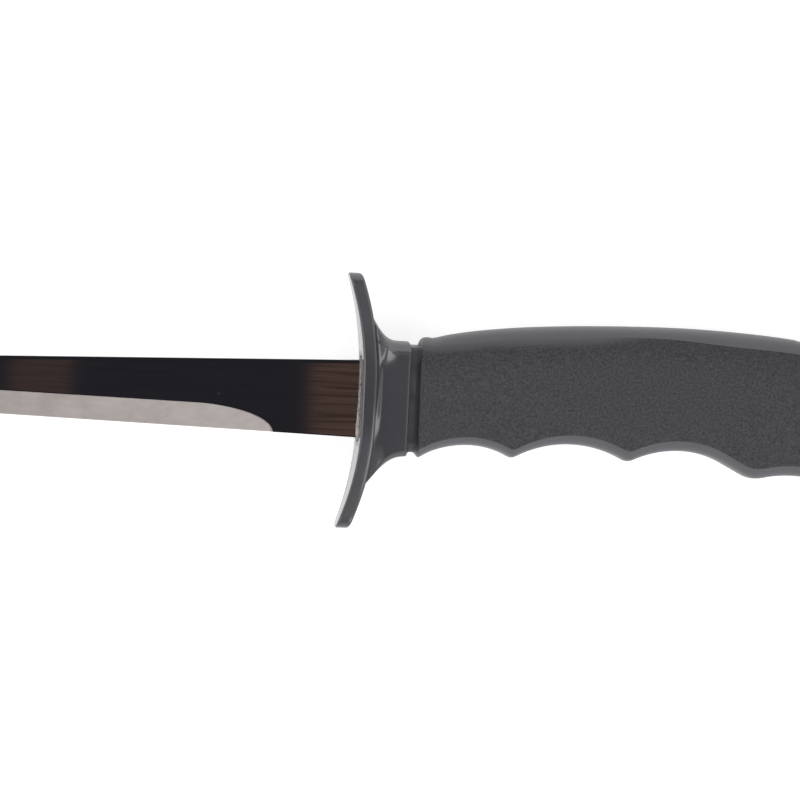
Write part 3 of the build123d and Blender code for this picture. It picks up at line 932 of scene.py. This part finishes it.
def gripRubber():
    # grey moulded grip: fine eroded grain on the panels, smoother edges with a paler tint that is painted
    # light, dust in the grain
    g = grip
    finish, tree, shader = newFinish("gripRubber")
    plain = place(tree)
    attribute = tree.nodes.new("ShaderNodeAttribute")
    attribute.attribute_name = "grain"
    grainy = attribute.outputs["Fac"]
    grains = noiseOf(tree, plain, 1900, 3, 0.65)
    coarse = noiseOf(tree, plain, 700, 2)
    cloud = noiseOf(tree, plain, 60, 3)
    specks = dustSpecks(tree, plain, 360, 0.95)
    # smooth areas take a paler tint: painted light
    tint = mixColour(tree, grainy, ramp(tree, cloud, g["paintedLightSmoothTints"]), ramp(tree, grains, g["grainTints"]))
    tree.links.new(mixColour(tree, specks, tint, g["dustTint"]), shader.inputs["Base Color"])
    tree.links.new(mapRange(tree, grainy, 0, 1, *g["rough"]), shader.inputs["Roughness"])
    shader.inputs["IOR"].default_value = g["refraction"]
    depth = mapRange(tree, grainy, 0, 1, *g["grainDepth"])
    height = mathOf(tree, "ADD", grains, times(tree, coarse, 0.5))
    tree.links.new(bumpOf(tree, height, depth, 0.00010), shader.inputs["Normal"])
    return finish


gripPiece = makeGrip(gripRubber())
cutHangHole(gripPiece)
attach(gripPiece, "root")
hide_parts("grip")
print("grip made")

# the hard inner pieces keep the shapes they came with
inner = {
    "coreTints": ((0.3, (0.010, 0.010, 0.012)), (0.7, (0.015, 0.015, 0.018))), "coreRough": (0.38, 0.5),
    "neckTints": ((0.3, (0.019, 0.019, 0.023)), (0.7, (0.026, 0.026, 0.031))), "neckRough": (0.30, 0.42),
    "pinTints": ((0.3, (0.5, 0.5, 0.49)), (0.7, (0.62, 0.62, 0.6))), "pinRough": (0.25, 0.4),
}


def mouldedPlastic(name, tints, rough):
    finish, tree, shader = newFinish(name)
    plain = place(tree)
    cloud = noiseOf(tree, plain, 300, 4)
    fine = noiseOf(tree, plain, 1500, 2)
    tree.links.new(ramp(tree, cloud, tints), shader.inputs["Base Color"])
    tree.links.new(mapRange(tree, cloud, 0.3, 0.7, *rough), shader.inputs["Roughness"])
    tree.links.new(bumpOf(tree, fine, 0.15, 0.00005), shader.inputs["Normal"])
    return finish


def turnedSteel():
    finish, tree, shader = newFinish("pinSteel")
    marks = noiseOf(tree, place(tree, (200, 200, 5000)), 1.0, 2)
    tree.links.new(ramp(tree, marks, inner["pinTints"]), shader.inputs["Base Color"])
    shader.inputs["Metallic"].default_value = 1.0
    tree.links.new(mapRange(tree, marks, 0.3, 0.7, *inner["pinRough"]), shader.inputs["Roughness"])
    return finish


corePlastic = mouldedPlastic("corePlastic", inner["coreTints"], inner["coreRough"])
neckPlastic = mouldedPlastic("neckPlastic", inner["neckTints"], inner["neckRough"])
pinSteel = turnedSteel()
for node, finish in (("core_left", corePlastic), ("core_right", corePlastic), ("neck_seal", neckPlastic),
                     ("tang_pins", pinSteel)):
    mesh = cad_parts[node].data
    mesh.materials.clear()
    mesh.materials.append(finish)
print("inner pieces finished")

# floor, light and camera
studio = {
    "floorSize": 12.0, "floorColour": (0.42, 0.42, 0.42), "floorRough": 0.9, "floorGlow": 0.76,
    "gapEdge": 13.5, "gapSoft": 4.5,  # dark gap overhead: its radius and soft edge, in degrees
    "gapColour": (0.0185, 0.018, 0.0235), "warmColour": (0.066, 0.042, 0.036), "warmShare": 0.66,
    "warmNear": 0.0571, "warmFar": (0.0017, 0.0133), "warmEdge": 0.0008, "warmAcross": (-0.075, -0.030),
    "nearGap": 0.5, "shoulder": 0.72, "horizon": 1.4,  # brightness from the gap's edge down to the horizon
    "shoulderAngle": 40,
    "frontGain": 0.15,  # more light from the edge side than from the spine side
    "boxes": (((0.45, -0.35, 0.82), 18.0, 3.6),  # where each soft box stands, its radius and its brightness
              ((0.62, 0.42, 0.66), 17.0, 1.2),
              ((-0.62, 0.0, 0.78), 17.0, 3.0)),
    "boxSoft": 3.0,
}


def makeFloor():
    mesh = bpy.data.meshes.new("floor")
    r = studio["floorSize"] / 2
    mesh.from_pydata([(-r, -r, 0), (r, -r, 0), (r, r, 0), (-r, r, 0)], [], [(0, 1, 2, 3)])
    floor = bpy.data.objects.new("floor", mesh)
    bpy.context.collection.objects.link(floor)
    finish, tree, shader = newFinish("floorPaper")
    shader.inputs["Base Color"].default_value = (*studio["floorColour"], 1)
    shader.inputs["Roughness"].default_value = studio["floorRough"]
    shader.inputs["Specular IOR Level"].default_value = 0.0
    glow = tree.nodes.new("ShaderNodeEmission")
    rays = tree.nodes.new("ShaderNodeLightPath")
    seen = mathOf(tree, "MAXIMUM", rays.outputs["Is Camera Ray"], rays.outputs["Is Glossy Ray"])
    seen = mathOf(tree, "MAXIMUM", seen, rays.outputs["Is Transmission Ray"])
    tree.links.new(times(tree, seen, studio["floorGlow"]), glow.inputs["Strength"])
    add = tree.nodes.new("ShaderNodeAddShader")
    tree.links.new(shader.outputs[0], add.inputs[0])
    tree.links.new(glow.outputs[0], add.inputs[1])
    tree.links.new(add.outputs[0], tree.nodes["Material Output"].inputs["Surface"])
    mesh.materials.append(finish)


def angleLevel(degrees):  # how high a direction points when it leans this far from straight up
    return cos(radians(degrees))


def makeWorld():
    # pale walls all round, a small dark gap overhead, and brighter soft boxes to the sides
    t = studio
    world = bpy.data.worlds.new("studio")
    bpy.context.scene.world = world
    world.use_nodes = True
    tree = world.node_tree
    back = tree.nodes["Background"]
    direction = tree.nodes.new("ShaderNodeTexCoord").outputs["Generated"]
    along, sideways, level = partsOf(tree, direction)
    shoulder = angleLevel(t["shoulderAngle"])
    walls = mapRange(tree, level, 0.0, shoulder, t["horizon"], t["shoulder"])
    upper = mapRange(tree, level, shoulder, angleLevel(t["gapEdge"] + t["gapSoft"]),
                     0, t["shoulder"] - t["nearGap"])
    gain = mathOf(tree, "MULTIPLY_ADD", sideways, -t["frontGain"])
    gain.node.inputs[2].default_value = 1.0
    light = times(tree, mathOf(tree, "SUBTRACT", walls, upper), gain)
    for middle, radius, boxGain in t["boxes"]:
        towards = tree.nodes.new("ShaderNodeVectorMath")
        towards.operation = "DOT_PRODUCT"
        tree.links.new(direction, towards.inputs[0])
        towards.inputs[1].default_value = Vector(middle).normalized()
        box = mapRange(tree, towards.outputs["Value"], angleLevel(radius),
                       angleLevel(radius - t["boxSoft"]), 0, boxGain)
        light = mathOf(tree, "ADD", light, box)
    pale = tree.nodes.new("ShaderNodeCombineColor")
    for socket in pale.inputs[:3]:
        tree.links.new(light, socket)

    def rising(value, middle, top=1.0):
        return mapRange(tree, value, middle - t["warmEdge"], middle + t["warmEdge"], 0, top)

    # the gap shows two faint warm patches, as from a wooden bench
    farStart, farEnd = t["warmFar"]
    far = mathOf(tree, "SUBTRACT", rising(along, farStart, t["warmShare"]),
                 rising(along, farEnd, t["warmShare"]))
    warm = mathOf(tree, "ADD", rising(along, t["warmNear"]), far)
    lowSide, highSide = t["warmAcross"]
    across = mathOf(tree, "SUBTRACT", rising(sideways, lowSide), rising(sideways, highSide))
    gapColour = mixColour(tree, times(tree, warm, across), t["gapColour"], t["warmColour"])
    inGap = mapRange(tree, level, angleLevel(t["gapEdge"] + t["gapSoft"] / 2),
                     angleLevel(t["gapEdge"] - t["gapSoft"] / 2))
    tree.links.new(mixColour(tree, inGap, pale.outputs[0], gapColour), back.inputs["Color"])
    back.inputs["Strength"].default_value = 1.0


camera = {
    "x": -80.0, "y": 59.0, "z": 1200.0, "aimX": 8.86, "aimY": 0.06,  # millimetres on the knife's axes
    "roll": 2.7, "width": 177.8, "sensor": 36.0, "farthest": 50,
}


def makeCamera():
    c = camera
    eye, aim = at(c["x"], c["y"], c["z"]), at(c["aimX"], c["aimY"], 0)
    back = (eye - aim).normalized()
    upward = Vector((-sin(radians(c["roll"])), cos(radians(c["roll"])), 0))
    right = upward.cross(back).normalized()
    up = back.cross(right)
    data = bpy.data.cameras.new("camera")
    holder = bpy.data.objects.new("camera", data)
    bpy.context.collection.objects.link(holder)
    turn = Matrix((right, up, back)).transposed().to_4x4()
    holder.matrix_world = Matrix.Translation(eye) @ turn
    data.sensor_width = c["sensor"]
    data.lens = data.sensor_width * (eye - aim).length / (c["width"] * mm)
    data.clip_end = c["farthest"]
    bpy.context.scene.camera = holder


makeFloor()
makeWorld()
makeCamera()
scene = bpy.context.scene
scene.view_settings.view_transform = "Standard"
print("studio ready")
